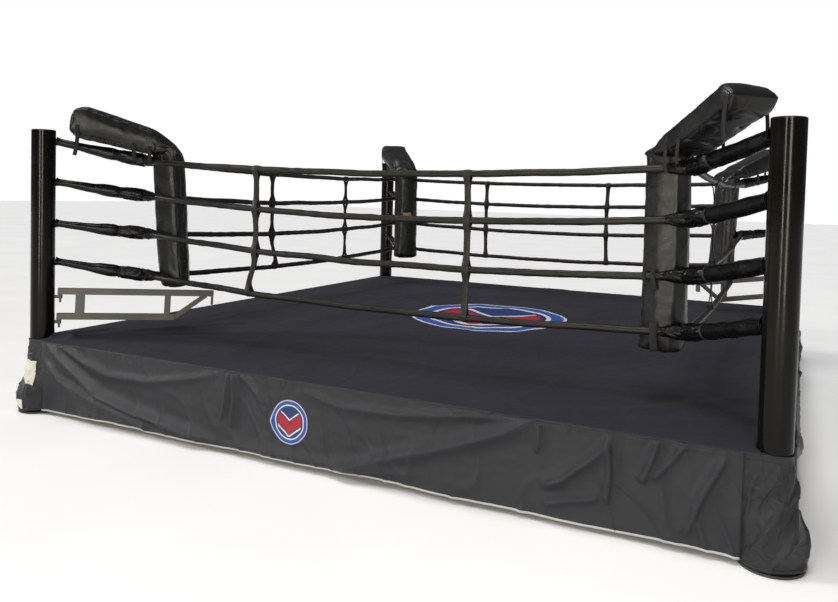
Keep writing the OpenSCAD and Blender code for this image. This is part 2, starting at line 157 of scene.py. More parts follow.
def ridge(u, v, path, height, left, right, fade=0.15):
    """A fold along path, with its own width on the left and on the right of it."""
    near, side, done = np.full(u.shape, 1e9), np.zeros(u.shape), 0.0
    along = np.zeros(u.shape)
    path = np.asarray(path, float)
    lengths = np.linalg.norm(np.diff(path, axis=0), axis=1)
    for a, b, long in zip(path[:-1], path[1:], lengths):
        d = (b - a) / long
        t = np.clip((u - a[0]) * d[0] + (v - a[1]) * d[1], 0, long)
        du, dv = u - a[0] - t * d[0], v - a[1] - t * d[1]
        far = np.hypot(du, dv)
        closer = far < near
        near = np.where(closer, far, near)
        side = np.where(closer, d[0] * dv - d[1] * du, side)
        along = np.where(closer, done + t, along)
        done += long
    width = right + (left - right) * step(-0.012, 0.012, side)
    ends = step(0, fade, along / done + 0.02) * step(0, fade, 1.02 - along / done)
    return height * ends * np.exp(-((near / width) ** 1.7))


def smooth_line(points, count):
    """Points along a smooth curve through the given ones."""
    p = np.asarray(points, float)
    p = np.concatenate([[2 * p[0] - p[1]], p, [2 * p[-1] - p[-2]]])
    out = []
    for t in np.linspace(0, len(p) - 3 - 1e-9, count):
        i = int(t)
        f = t - i
        a, b, c, d = p[i : i + 4]
        bend = (2 * a - 5 * b + 4 * c - d) * f**2
        out.append(0.5 * (2 * b + (c - a) * f + bend + (3 * b - a - 3 * c + d) * f**3))
    return np.array(out)


def apart(line, gap=0.003):
    """The points of a line that lie at least a gap apart."""
    kept = [line[0]]
    for p in line[1:]:
        if np.linalg.norm(p - kept[-1]) > gap:
            kept.append(p)
    return np.array(kept)


def unit(v):
    return v / np.maximum(np.linalg.norm(v, axis=1, keepdims=True), 1e-9)


def grid_faces(rows, cols, start=0, wrap=False):
    """Faces between the points of a grid kept row by row."""
    r, c = np.meshgrid(np.arange(rows - 1), np.arange(cols if wrap else cols - 1), indexing="ij")
    n = (c + 1) % cols
    faces = np.stack([r * cols + c, r * cols + n, (r + 1) * cols + n, (r + 1) * cols + c], -1)
    return (start + faces.reshape(-1, 4)).tolist()


def loop_faces(rows, cols):
    """Faces of a tube that closes on itself: its last row meets its first."""
    last = (rows - 1) * cols
    closing = [[last + c, last + (c + 1) % cols, (c + 1) % cols, c] for c in range(cols)]
    return grid_faces(rows, cols, wrap=True) + closing


def tube(rings):
    """Points and faces of a closed tube through rings of points, with flat ends."""
    rings = np.asarray(rings, float)
    m, n = rings.shape[:2]
    faces = grid_faces(m, n, wrap=True)
    faces += [list(range(n - 1, -1, -1)), [(m - 1) * n + j for j in range(n)]]
    return rings.reshape(-1, 3), faces


def frames(path, guide=None):
    """Tangent, side and normal at each point of a path."""
    path = np.asarray(path, float)
    t = unit(np.gradient(path, axis=0))
    if guide is None:
        guide = (0, 0, 1) if abs(t[:, 2]).max() < 0.9 else (1, 0.3, 0)
    side = unit(np.cross(t, np.array(guide, float)))
    return t, side, np.cross(side, t)


def cord_tube(path, radius, sides=12, guide=None):
    """A tube along a path; radius is one number, one a point or one a corner."""
    path = np.asarray(path, float)
    _, side, normal = frames(path, guide)
    a = np.linspace(0, 2 * np.pi, sides, endpoint=False)
    r = np.asarray(radius, float)
    if r.ndim < 2:
        r = np.broadcast_to(r, (len(path),))[:, None]
    ring = side[:, None] * np.cos(a)[None, :, None]
    ring = ring + normal[:, None] * np.sin(a)[None, :, None]
    return tube(path[:, None] + r[..., None] * ring)


def ribbon(path, across, width, thick):
    """A flat strap with rounded edges along a path."""
    path = np.asarray(path, float)
    t = unit(np.gradient(path, axis=0))
    across = np.broadcast_to(np.asarray(across, float), path.shape)
    across = unit(across - t * (across * t).sum(1, keepdims=True))
    out = np.cross(across, t)
    w, h = width / 2, thick / 2
    outline = [
        (-w, -0.4 * h), (-w + h, -h), (0, -h), (w - h, -h), (w, -0.4 * h),
        (w, 0.4 * h), (w - h, h), (0, h), (-w + h, h), (-w, 0.4 * h),
    ]
    rings = np.stack([path + a * across + b * out for a, b in outline], 1)
    return tube(rings)


def join(parts):
    """Several (points, faces) as one."""
    points, faces, n = [], [], 0
    for p, f in parts:
        p = np.asarray(p, float).reshape(-1, 3)
        points.append(p)
        faces += [[i + n for i in face] for face in f]
        n += len(p)
    return np.concatenate(points), faces


def piece(name, shape, finish, stands_for=(), body="root", smooth=True):
    """A new mesh piece that rides on a body."""
    points, faces = shape
    data = bpy.data.meshes.new(name)
    data.from_pydata([tuple(p) for p in np.asarray(points).tolist()], [], faces)
    data.validate()
    data.polygons.foreach_set("use_smooth", [smooth] * len(data.polygons))
    o = bpy.data.objects.new(name, data)
    bpy.context.scene.collection.objects.link(o)
    if body:
        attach(o, body)
    if stands_for:
        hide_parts(*stands_for)
    data.materials.append(finish)
    return o


def thicken(o, thick, offset=0.0):
    m = o.modifiers.new("thickness", "SOLIDIFY")
    m.thickness, m.offset = thick, offset
    return o


class Nodes:
    """A material's node tree, with short ways to add nodes to it."""

    def __init__(self, name):
        self.material = bpy.data.materials.new(name)
        self.material.use_nodes = True
        self.tree = self.material.node_tree
        self.shader = self.tree.nodes["Principled BSDF"]
        self.place = self.tree.nodes.new("ShaderNodeTexCoord").outputs["Object"]

    def add(self, kind, inputs=None, **settings):
        n = self.tree.nodes.new("ShaderNode" + kind)
        for key, value in settings.items():
            setattr(n, key, value)
        for key, value in (inputs or {}).items():
            self.put(n.inputs[key], value)
        return n

    def put(self, socket, value):
        if isinstance(value, bpy.types.NodeSocket):
            self.tree.links.new(value, socket)
        else:
            socket.default_value = value

    def math(self, operation, a, b=0.0, c=0.0):
        n = self.add("Math", {0: a, 1: b, 2: c}, operation=operation)
        return n.outputs[0]

    def noise(self, scale, detail=3.0, rough=0.5, stretch=None):
        place = self.place
        if stretch:
            place = self.add("Mapping", {"Vector": place, "Scale": stretch}).outputs[0]
        return self.add(
            "TexNoise",
            {"Vector": place, "Scale": scale, "Detail": detail, "Roughness": rough},
        ).outputs["Fac"]

    def spread(self, value, low, high, start=0.3, end=0.7):
        return self.add(
            "MapRange",
            {"Value": value, "From Min": start, "From Max": end, "To Min": low, "To Max": high},
        ).outputs["Result"]

    def mix(self, amount, a, b):
        n = self.add("Mix", data_type="RGBA")
        self.put(n.inputs["Factor"], amount)
        for socket, value in ((n.inputs["A"], a), (n.inputs["B"], b)):
            for s in (s for s in n.inputs if s.name == socket.name and s.type == "RGBA"):
                self.put(s, value)
        return next(s for s in n.outputs if s.type == "RGBA")

    def bump(self, height, depth, strength=1.0, under=None):
        n = self.add("Bump", {"Height": height, "Distance": depth, "Strength": strength})
        if under is not None:
            self.put(n.inputs["Normal"], under)
        return n.outputs["Normal"]

    def voronoi(self, scale, feature="F1"):
        return self.add(
            "TexVoronoi", {"Vector": self.place, "Scale": scale}, feature=feature
        ).outputs["Distance"]

    def weave(self, pitch):
        """Threads along the three axes, crossing each other."""
        x, y, z = (
            self.math("SINE", self.math("MULTIPLY", s, 2 * math.pi / pitch))
            for s in self.add("SeparateXYZ", {0: self.place}).outputs
        )
        return self.math("ADD", self.math("MULTIPLY", x, z), self.math("MULTIPLY", x, y))


def shade(colour, factor):
    return tuple(min(1.0, c * factor) for c in colour) + (1.0,)


def painted(n, colour, spread=0.2, scale=2.5):
    """Uneven colour: broad patches with finer ones in them."""
    broad = n.spread(n.noise(scale, 4.0), 0.0, 1.0)
    return n.mix(broad, shade(colour, 1 - spread), shade(colour, 1 + spread))


def finish_up(n, base, rough, rough_spread, rough_scale, normal, **direct):
    n.put(n.shader.inputs["Base Color"], base)
    n.put(
        n.shader.inputs["Roughness"],
        n.spread(n.noise(rough_scale), rough - rough_spread, rough + rough_spread),
    )
    if normal is not None:
        n.put(n.shader.inputs["Normal"], normal)
    for key, value in direct.items():
        n.shader.inputs[key.replace("_", " ")].default_value = value
    return n.material


def vinyl(name, colour, rough=0.36, scale=320.0, depth=0.0006, spec=0.4, spread=0.25):
    """Coated fabric with a fine leather grain and soft creases."""
    n = Nodes(name)
    grain = n.voronoi(scale)
    soft = n.bump(n.noise(26.0, 5.0, 0.6), 0.004, 0.45)
    normal = n.bump(grain, depth, 0.6, soft)
    worn = n.spread(n.noise(9.0, 6.0, 0.7), 0.0, 0.5, 0.58, 0.8)
    base = n.mix(worn, painted(n, colour, spread, 6.0), shade(colour, 1.9))
    return finish_up(n, base, rough, 0.09, 14.0, normal, Specular_IOR_Level=spec)


def cloth(name, colour, pitch, rough=0.75, sheen=0.25, depth=0.0004, spread=0.14, extra=None,
          spec=0.3):
    """Woven fabric with threads, slight fading and lint."""
    n = Nodes(name)
    threads = n.weave(pitch)
    soft = n.bump(n.noise(14.0, 6.0, 0.62), 0.006, 0.35)
    normal = n.bump(threads, depth, 0.6, soft)
    base = painted(n, colour, spread, 1.6)
    lint = n.spread(n.noise(160.0, 3.0, 0.8), 0.0, 0.5, 0.62, 0.8)
    base = n.mix(lint, base, shade(colour, 1.7))
    if extra:
        base = extra(n, base)
    return finish_up(
        n, base, rough, 0.07, 8.0, normal,
        Specular_IOR_Level=spec, Sheen_Weight=sheen, Sheen_Roughness=0.4,
    )


def paint(name, colour, rough=0.25, coat=0.0, spec=0.5, metal=0.0, wear=None, peel=0.0012):
    """Sprayed metal with a faint orange peel, smudges and worn spots."""
    n = Nodes(name)
    normal = n.bump(n.noise(38.0, 3.0), peel, 0.3)
    base = painted(n, colour, 0.2, 3.0)
    if wear:
        spots = n.spread(n.noise(22.0, 8.0, 0.75), 0.0, 0.8, 0.62, 0.78)
        base = n.mix(spots, base, shade(wear, 1.0))
    return finish_up(
        n, base, rough, 0.08, 7.0, normal,
        Specular_IOR_Level=spec, Metallic=metal, Coat_Weight=coat, Coat_Roughness=0.08,
    )


def roundel(n, base, u, v, size):
    """A plain printed roundel: a blue ring between white lines and red chevrons."""
    x = n.math("DIVIDE", u, size)
    y = n.math("DIVIDE", v, size)
    far = n.math("SQRT", n.math("ADD", n.math("MULTIPLY", x, x), n.math("MULTIPLY", y, y)))

    def band(value, low, high):
        return n.math("MULTIPLY", n.math("GREATER_THAN", value, low), n.math("LESS_THAN", value, high))

    rise = n.math("SUBTRACT", y, n.math("MULTIPLY", n.math("ABSOLUTE", x), 0.75))
    inside = n.math("LESS_THAN", far, 0.66)
    out = n.mix(band(far, 0.0, 0.7), base, (0.012, 0.03, 0.13, 1))
    out = n.mix(band(far, 0.80, 1.0), out, (0.02, 0.07, 0.32, 1))
    out = n.mix(band(far, 0.74, 0.80), out, (0.55, 0.57, 0.62, 1))
    out = n.mix(band(far, 0.96, 1.0), out, (0.5, 0.53, 0.6, 1))
    for low, high, colour in (
        (-0.55, -0.02, (0.33, 0.012, 0.02, 1)),
        (0.05, 0.13, (0.55, 0.55, 0.58, 1)),
        (-0.72, -0.62, (0.55, 0.55, 0.58, 1)),
    ):
        out = n.mix(n.math("MULTIPLY", inside, band(rise, low, high)), out, colour)
    return out


CANVAS_EMBLEM_X = -0.02
CANVAS_EMBLEM_Y = 0.16
CANVAS_EMBLEM_R = 0.72
SKIRT_EMBLEM_X = -0.174
SKIRT_EMBLEM_Z = 0.277
SKIRT_EMBLEM_R = 0.131
EMBLEM_CLOTH_R = 0.136


def canvas_print(n, base):
    x, y, _ = n.add("SeparateXYZ", {0: n.place}).outputs
    u, v = n.math("ADD", x, -CANVAS_EMBLEM_X), n.math("SUBTRACT", y, CANVAS_EMBLEM_Y)
    return roundel(n, base, u, v, CANVAS_EMBLEM_R)


def skirt_print(n, base):
    x, _, z = n.add("SeparateXYZ", {0: n.place}).outputs
    u, v = n.math("ADD", x, -SKIRT_EMBLEM_X), n.math("SUBTRACT", z, SKIRT_EMBLEM_Z)
    return roundel(n, base, u, v, SKIRT_EMBLEM_R)


CANVAS = cloth(
    "canvas_weave", (0.0165, 0.0175, 0.0260), 0.004, 0.72, 0.02, extra=canvas_print, spec=0.2)
SKIRT = cloth("skirt_nylon", (0.0105, 0.0120, 0.0165), 0.0016, 0.38, 0.02, spec=0.40)
WRAP = cloth("corner_nylon", (0.0075, 0.0085, 0.0115), 0.0016, 0.34, 0.02, spec=0.40)
PATCH = cloth("printed_patch", (0.03, 0.04, 0.09), 0.002, 0.6, 0.1, extra=skirt_print)
HEM = cloth("hem_tape", (0.42, 0.42, 0.43), 0.002, 0.7, 0.1)
TAN = cloth("woven_label", (0.34, 0.22, 0.07), 0.002, 0.6, 0.2, spread=0.4)
PALE = cloth("pale_patch", (0.62, 0.60, 0.55), 0.002, 0.6, 0.1)
STRAP = cloth("strap_webbing", (0.010, 0.0095, 0.009), 0.002, 0.55, 0.05, spec=0.25)
PAD = vinyl("pad_vinyl", (0.0070, 0.0071, 0.0070), 0.33, 260.0, 0.0006, 0.32)
WELT = vinyl("pad_welt", (0.005, 0.005, 0.005), 0.3, 400.0, 0.0004, 0.35)
SLEEVE = vinyl("sleeve_vinyl", (0.0025, 0.0025, 0.0025), 0.27, 340.0, 0.0005, 0.24)
ROPE = vinyl("rope_vinyl", (0.012, 0.0105, 0.0090), 0.40, 360.0, 0.0004, 0.30)
SPACER = vinyl("spacer_vinyl", (0.015, 0.013, 0.011), 0.46, 300.0, 0.0006, 0.28)
POST = paint("post_gloss", (0.0035, 0.0030, 0.0020), 0.15, 0.0, 0.16)
CAP = paint("cap_gloss", (0.006, 0.005, 0.004), 0.24, 0.0, 0.28)
PLATE = paint("plate_paint", (0.03, 0.028, 0.026), 0.45, 0.0, 0.4, wear=(0.12, 0.10, 0.09))
ARM = paint("arm_paint", (0.10, 0.094, 0.084), 0.5, 0.0, 0.4, wear=(0.18, 0.165, 0.15))
STEEL = paint("frame_steel", (0.20, 0.20, 0.21), 0.45, 0.0, 0.5, wear=(0.10, 0.07, 0.05))
ZINC = paint("zinc_steel", (0.56, 0.56, 0.58), 0.34, 0.0, 0.5, 1.0, wear=(0.34, 0.34, 0.35))
FOAM = cloth("foam_mat", (0.12, 0.12, 0.13), 0.006, 0.9, 0.0)


def plywood():
    n = Nodes("plywood")
    grain = n.noise(5.0, 8.0, 0.6, stretch=(1.0, 14.0, 1.0))
    fine = n.noise(60.0, 4.0, 0.6, stretch=(1.0, 20.0, 1.0))
    base = n.mix(n.spread(grain, 0.0, 1.0), (0.42, 0.26, 0.13, 1), (0.60, 0.42, 0.24, 1))
    base = n.mix(n.spread(fine, 0.0, 0.4), base, (0.28, 0.17, 0.08, 1))
    return finish_up(n, base, 0.65, 0.08, 10.0, n.bump(fine, 0.0008, 0.5))


PLY = plywood()

CAD_FINISH = [
    ("post_caps", CAP), ("post_bases", PLATE), ("post_", POST), ("plywood_panels", PLY),
    ("foam_mat", FOAM), ("rope_lugs", PLATE), ("turnbuckle", ZINC), ("lug_pins", ZINC),
    ("junction_rings", ZINC), ("swing_arm", ARM)]
for node, o in nodes.items():
    finish = next((m for start, m in CAD_FINISH if node.startswith(start)), STEEL)
    o.data.materials.clear()
    o.data.materials.append(finish)

# ---- canvas ----


def near_snap(x, y):
    """Moves the grid points next to a post onto its outline."""
    for k in range(4):
        c = post_axes(k)[0]
        far = np.hypot(x - c[0], y - c[1])
        hug = (far > POST_R - 0.012) & (far < POST_R + 0.009)
        x = np.where(hug, c[0] + (x - c[0]) * (POST_R + 0.001) / far, x)
        y = np.where(hug, c[1] + (y - c[1]) * (POST_R + 0.001) / far, y)
    return x, y


def canvas_height(x, y):
    p = np.stack([x, y], -1)
    soft = ridge(x, y, [(-2.3, -2.5), (-1.6, -1.15)], 0.008, 0.08, 0.05)
    for path, high, left, right in (
        ([(-0.6, -1.43), (0.86, -1.41), (1.53, -1.34)], 0.007, 0.05, 0.09),
        ([(-2.28, 0.31), (-1.25, 0.67), (-0.6, 0.30)], 0.009, 0.06, 0.1),
        ([(1.33, -2.48), (1.82, -2.2), (2.37, -1.62)], 0.011, 0.05, 0.07),
        ([(1.76, -2.39), (2.09, -2.28), (2.39, -2.04)], 0.010, 0.04, 0.06),
        ([(-1.75, -2.37), (-0.89, -2.11)], 0.007, 0.05, 0.08),
        ([(0.2, -2.45), (0.9, -1.9), (1.2, -1.2)], 0.005, 0.06, 0.08),
        ([(1.6, 0.2), (2.2, 0.9), (2.4, 1.7)], 0.008, 0.06, 0.08),
        ([(-0.4, 2.3), (0.5, 1.9), (1.6, 2.2)], 0.007, 0.06, 0.08),
        ([(-2.3, 2.2), (-1.4, 1.6)], 0.007, 0.05, 0.08),
    ):
        soft = soft + ridge(x, y, path, high, left, right)
    soft = 1.6 * soft
    soft = soft + ridge(x, y, [(-2.43, -2.50), (-2.34, -2.46), (-2.20, -2.45)], 0.035, 0.03, 0.04)
    soft = soft + ridge(x, y, [(-2.44, -2.36), (-2.36, -2.20), (-2.30, -2.05)], 0.018, 0.03, 0.04)
    rim = EDGE - np.maximum(abs(x), abs(y))
    fade = step(0, 0.12, rim)
    broad = 0.0035 * (1.5 + noise(p, 1.4, 3)) + 0.0016 * (1.5 + noise(p, 0.4, 4))
    drawn = p @ np.array([[0.95, 0.12], [-0.3, 0.4]])
    lines = 0.0035 * crease(drawn, 0.55, 5, 0.22)
    lines = lines + 0.0022 * crease(p @ np.array([[0.45, 0.5], [0.4, -0.9]]), 0.45, 8, 0.25)
    pucker = 0.0016 * np.exp(-rim / 0.10) * (1 + noise(p, 0.12, 6))
    return np.maximum(fade * (soft + broad + lines) + pucker * step(0, 0.03, rim), 0.0002)


def canvas_sheet():
    flat = np.linspace(-EDGE + 0.014, EDGE - 0.014, 329)
    turn = np.linspace(0, np.pi / 2, 5)[1:]
    out = EDGE - 0.014 + 0.014 * np.sin(turn)
    drop = 0.014 * (1 - np.cos(turn))
    out, drop = np.append(out, [EDGE, EDGE]), np.append(drop, [0.024, 0.036])
    line = np.concatenate([-out[::-1], flat, out])
    down = np.concatenate([drop[::-1], np.zeros(len(flat)), drop])
    x, y = np.meshgrid(line, line, indexing="ij")
    dx, dy = np.meshgrid(down, down, indexing="ij")
    sx, sy = near_snap(x, y)
    z = DECK + canvas_height(sx, sy) - np.maximum(dx, dy)
    keep = ~((abs(x) > HALF + 0.002) & (abs(y) > HALF + 0.002))
    for k in range(4):
        c = post_axes(k)[0]
        keep &= np.hypot(sx - c[0], sy - c[1]) > POST_R - 0.001
    n = len(line)
    faces = np.array(grid_faces(n, n))
    faces = faces[keep.reshape(-1)[faces].all(1)]
    used = np.unique(faces)
    where = np.zeros(n * n, int)
    where[used] = np.arange(len(used))
    points = np.stack([sx, sy, z], -1).reshape(-1, 3)[used]
    o = piece(
        "floor_canvas_cloth", (points, where[faces][:, ::-1].tolist()), CANVAS,
        ["floor_canvas"],
    )
    thicken(o, 0.0015, -1)


canvas_sheet()

# ---- skirts ----

SKIRT_Y = EDGE + 0.0045
SKIRT_TOP = DECK - 0.001
SKIRT_LOW = 0.032
SKIRT_END = 2.372

FRONT_FOLDS = [
    ([(-2.36, 0.53), (-2.30, 0.51), (-2.09, 0.39), (-1.78, 0.22), (-1.45, 0.15),
      (-1.14, 0.11), (-0.71, 0.066)], 0.022, 0.05, 0.035),
    ([(-0.71, 0.066), (0.26, 0.074), (0.71, 0.117)], 0.010, 0.05, 0.03),
    ([(-2.36, 0.42), (-2.19, 0.27), (-1.88, 0.18), (-1.50, 0.10), (-1.22, 0.03)],
     0.014, 0.035, 0.03),
    ([(-2.24, 0.55), (-1.94, 0.43), (-1.69, 0.37), (-1.32, 0.376), (-0.97, 0.44),
      (-0.70, 0.507)], 0.012, 0.03, 0.05),
    ([(-0.62, 0.52), (-0.60, 0.38), (-0.62, 0.165)], 0.010, 0.02, 0.025),
    ([(-0.655, 0.52), (-0.67, 0.36), (-0.70, 0.20)], 0.008, 0.016, 0.02),
    ([(-0.58, 0.52), (-0.50, 0.49), (-0.39, 0.38), (-0.29, 0.24)], 0.010, 0.03, 0.03),
    ([(-0.10, 0.48), (0.21, 0.424), (0.58, 0.437), (1.0, 0.495), (1.34, 0.524)],
     0.010, 0.025, 0.05),
    ([(0.12, 0.04), (0.58, 0.21), (0.83, 0.29), (1.01, 0.36), (1.18, 0.43),
      (1.37, 0.52)], 0.022, 0.045, 0.06),
    ([(1.385, 0.52), (1.39, 0.43), (1.38, 0.35)], 0.010, 0.02, 0.02),
    ([(1.40, 0.19), (1.51, 0.24), (1.71, 0.415), (1.76, 0.505)], 0.014, 0.03, 0.04),
    ([(1.755, 0.47), (1.76, 0.30), (1.75, 0.16)], 0.012, 0.016, 0.03),
    ([(1.99, 0.53), (1.97, 0.45), (1.91, 0.29)], 0.012, 0.025, 0.03),
    ([(2.13, 0.545), (2.05, 0.43), (1.96, 0.32)], 0.010, 0.025, 0.03),
    ([(1.41, 0.10), (1.56, 0.146), (1.72, 0.186)], 0.012, 0.03, 0.03),
    ([(2.30, 0.50), (2.20, 0.30), (2.12, 0.08)], 0.012, 0.03, 0.04),
]
TIES = [(-2.31, 0.53), (-0.62, 0.52), (1.385, 0.526), (2.31, 0.53)]


def side_folds(seed):
    """Folds of another side: swags between ties, and slanted drapes below them."""
    rng = np.random.default_rng(seed)
    ties = [-2.3, rng.uniform(-0.9, -0.5), rng.uniform(0.9, 1.4), 2.3]
    folds = []
    for a, b in zip(ties[:-1], ties[1:]):
        t = np.linspace(0.02, 0.98, 7)
        low = rng.uniform(0.10, 0.16)
        folds.append(
            (np.stack([a + (b - a) * t, 0.525 - low * np.sin(np.pi * t)], 1),
             rng.uniform(0.008, 0.012), 0.03, 0.05)
        )
        lean = rng.choice([-1, 1])
        foot = a + (b - a) * (0.15 if lean > 0 else 0.85)
        head = b if lean > 0 else a
        t = np.linspace(0, 1, 6)
        folds.append(
            (np.stack([foot + (head - foot) * t, 0.05 + 0.46 * t**1.25], 1),
             rng.uniform(0.014, 0.02), 0.04, 0.055)
        )
    for tie in ties[1:-1]:
        for lean in (-0.16, -0.03, 0.12):
            folds.append(
                ([(tie, 0.52), (tie + lean * 0.5, 0.38), (tie + lean, rng.uniform(0.1, 0.25))],
                 rng.uniform(0.007, 0.012), 0.02, 0.028)
            )
    return folds, [(t, 0.525) for t in ties]


def skirt_depth(k, x, z):
    """How far skirt k stands out of its plane."""
    folds, ties = (FRONT_FOLDS, TIES) if k == 0 else side_folds(40 + k)
    p = np.stack([x, z], -1)
    out = np.zeros(x.shape)
    for path, height, left, right in folds:
        out += ridge(x, z, path, 2.2 * height, 0.72 * left, 0.72 * right)
    hang = 1 - step(0.0, 1.0, z / SKIRT_TOP)
    out += 0.006 * hang * (1 + noise(p * np.array([1, 0.35]), 0.9, 50 + k))
    out += 0.0060 * (0.4 + hang) * crease(p @ np.array([[1, 0.1], [0.3, 0.5]]), 0.36, 60 + k, 0.3)
    out += 0.0008 * (1 + noise(p, 0.09, 70 + k))
    pucker = np.exp(-(SKIRT_TOP - z) / 0.035)
    out += 0.0036 * pucker * (1 + noise(np.stack([x, 0 * x], -1), 0.075, 80 + k))
    for tx, tz in ties:
        out -= 0.005 * np.exp(-(((x - tx) / 0.02) ** 2 + ((z - tz) / 0.03) ** 2))
    return np.maximum(out, 0) * step(0, 0.02, SKIRT_TOP + 0.004 - z) + 0.0006


def skirt_low(k, x):
    return SKIRT_LOW + 0.006 * noise(np.stack([x, 0 * x], -1), 1.1, 90 + k, 10)


def side_skirt(k):
    x = np.linspace(-SKIRT_END, SKIRT_END, 640)
    t = np.linspace(0, 1, 72)
    low = skirt_low(k, x)
    z = low[:, None] + (SKIRT_TOP - low[:, None]) * t[None, :]
    x = np.broadcast_to(x[:, None], z.shape)

    def on_skirt(px, pz, lift):
        """Points on the skirt's outer face, lifted off it; its ends lap the corners."""
        depth = skirt_depth(k, px, pz)
        over = 0.004 * step(SKIRT_END - 0.07, SKIRT_END - 0.02, abs(px))
        return at_side(k, np.stack([px, -(SKIRT_Y + depth + over + lift), pz], -1))

    points = on_skirt(x, z, 0.0).reshape(-1, 3)
    o = piece(
        f"skirt_cloth_{SIDES[k]}", (points, grid_faces(*z.shape)), SKIRT,
        [f"skirt_{SIDES[k]}"],
    )
    thicken(o, 0.0014)
    extra = []
    hx = np.linspace(-SKIRT_END + 0.002, SKIRT_END - 0.002, 500)
    tape = np.stack([on_skirt(hx, skirt_low(k, hx) + dz, lift) for dz, lift in (
        (-0.002, 0.0015), (0.004, 0.0030), (0.010, 0.0015), (0.010, -0.0015),
        (0.004, -0.0020), (-0.002, -0.0015))], 1)
    extra.append(piece(f"skirt_hem_{SIDES[k]}", tube(tape), HEM))
    roll = on_skirt(hx, np.full(hx.shape, SKIRT_TOP - 0.006), 0.0005)
    stitch = on_skirt(hx, np.full(hx.shape, SKIRT_TOP - 0.034), 0.0006)
    seam = join([cord_tube(roll, 0.0042, 8), cord_tube(stitch, 0.0011, 6)])
    extra.append(piece(f"skirt_top_seam_{SIDES[k]}", seam, SKIRT))
    if k == 0:
        r = np.linspace(0, EMBLEM_CLOTH_R, 26)
        a = np.linspace(0, 2 * np.pi, 97)[:-1]
        px = SKIRT_EMBLEM_X + r[:, None] * np.cos(a)
        pz = SKIRT_EMBLEM_Z + r[:, None] * np.sin(a)
        lift = 0.0016 - 0.0006 * step(0.130, EMBLEM_CLOTH_R, r)[:, None]
        face = on_skirt(px, pz, lift)[1:].reshape(-1, 3)
        hub = on_skirt(np.array([SKIRT_EMBLEM_X]), np.array([SKIRT_EMBLEM_Z]), 0.0016)
        fan = [[j, (j + 1) % 96, len(face)] for j in range(96)]
        disc = np.concatenate([face, hub]), grid_faces(25, 96, wrap=True) + fan
        extra.append(piece("skirt_emblem", disc, PATCH))
        thicken(extra[-1], 0.0008)


for k in range(4):
    side_skirt(k)

# ---- corner skirts ----

NEAR = 0.0842
FLAP = 0.158
PLATE_CLEAR = 0.149
WRAP_ARC = math.pi / 2 * 0.11


def wrap_out(k, s, z):
    """Distance of a corner skirt from the post axis, at s along it."""
    beyond = np.maximum(abs(s) - WRAP_ARC / 2, 0)
    plate = np.sqrt(np.maximum(PLATE_CLEAR**2 - beyond**2, NEAR**2))
    flare = (1 - step(0.10, 0.36, z)) ** 1.1
    bulge = 0.006 * np.exp(-(((z - 0.12) / 0.07) ** 2)) * step(0, 0.08, FLAP + 0.08 - beyond)
    p = np.stack([s, z], -1)
    slant = np.stack([s + 0.55 * z, 0.35 * z], -1)
    lines = 0.007 * crease(slant, 0.15, 110 + k, 0.3) * step(0.5, 0.3, z)
    lines = lines + 0.004 * crease(p, 0.10, 120 + k, 0.25) * step(0.53, 0.42, z)
    turn = 1 if k % 2 else -1
    for path, high in (
        ([(-0.06, 0.50), (-0.01, 0.38), (0.09, 0.24), (0.15, 0.10)], 0.016),
        ([(-0.12, 0.42), (-0.05, 0.27), (0.03, 0.15), (0.06, 0.05)], 0.020),
        ([(-0.15, 0.27), (-0.10, 0.17), (-0.05, 0.06)], 0.016),
        ([(0.04, 0.49), (0.09, 0.40), (0.15, 0.33)], 0.012),
        ([(-0.16, 0.46), (-0.09, 0.36), (0.01, 0.31), (0.10, 0.33)], 0.012),
    ):
        lines = lines + ridge(turn * s, z, path, high, 0.014, 0.028)
    free = step(0, 0.05, FLAP - beyond + 0.01)
    body = NEAR + (plate - NEAR) * flare
    return body + free * (bulge * 0.4 + 0.8 * lines) - 0.004 * (1 - step(0, 0.02, z))


def wrap_low(k, s):
    return 0.024 + 0.004 * np.sin(s * 23 + k)


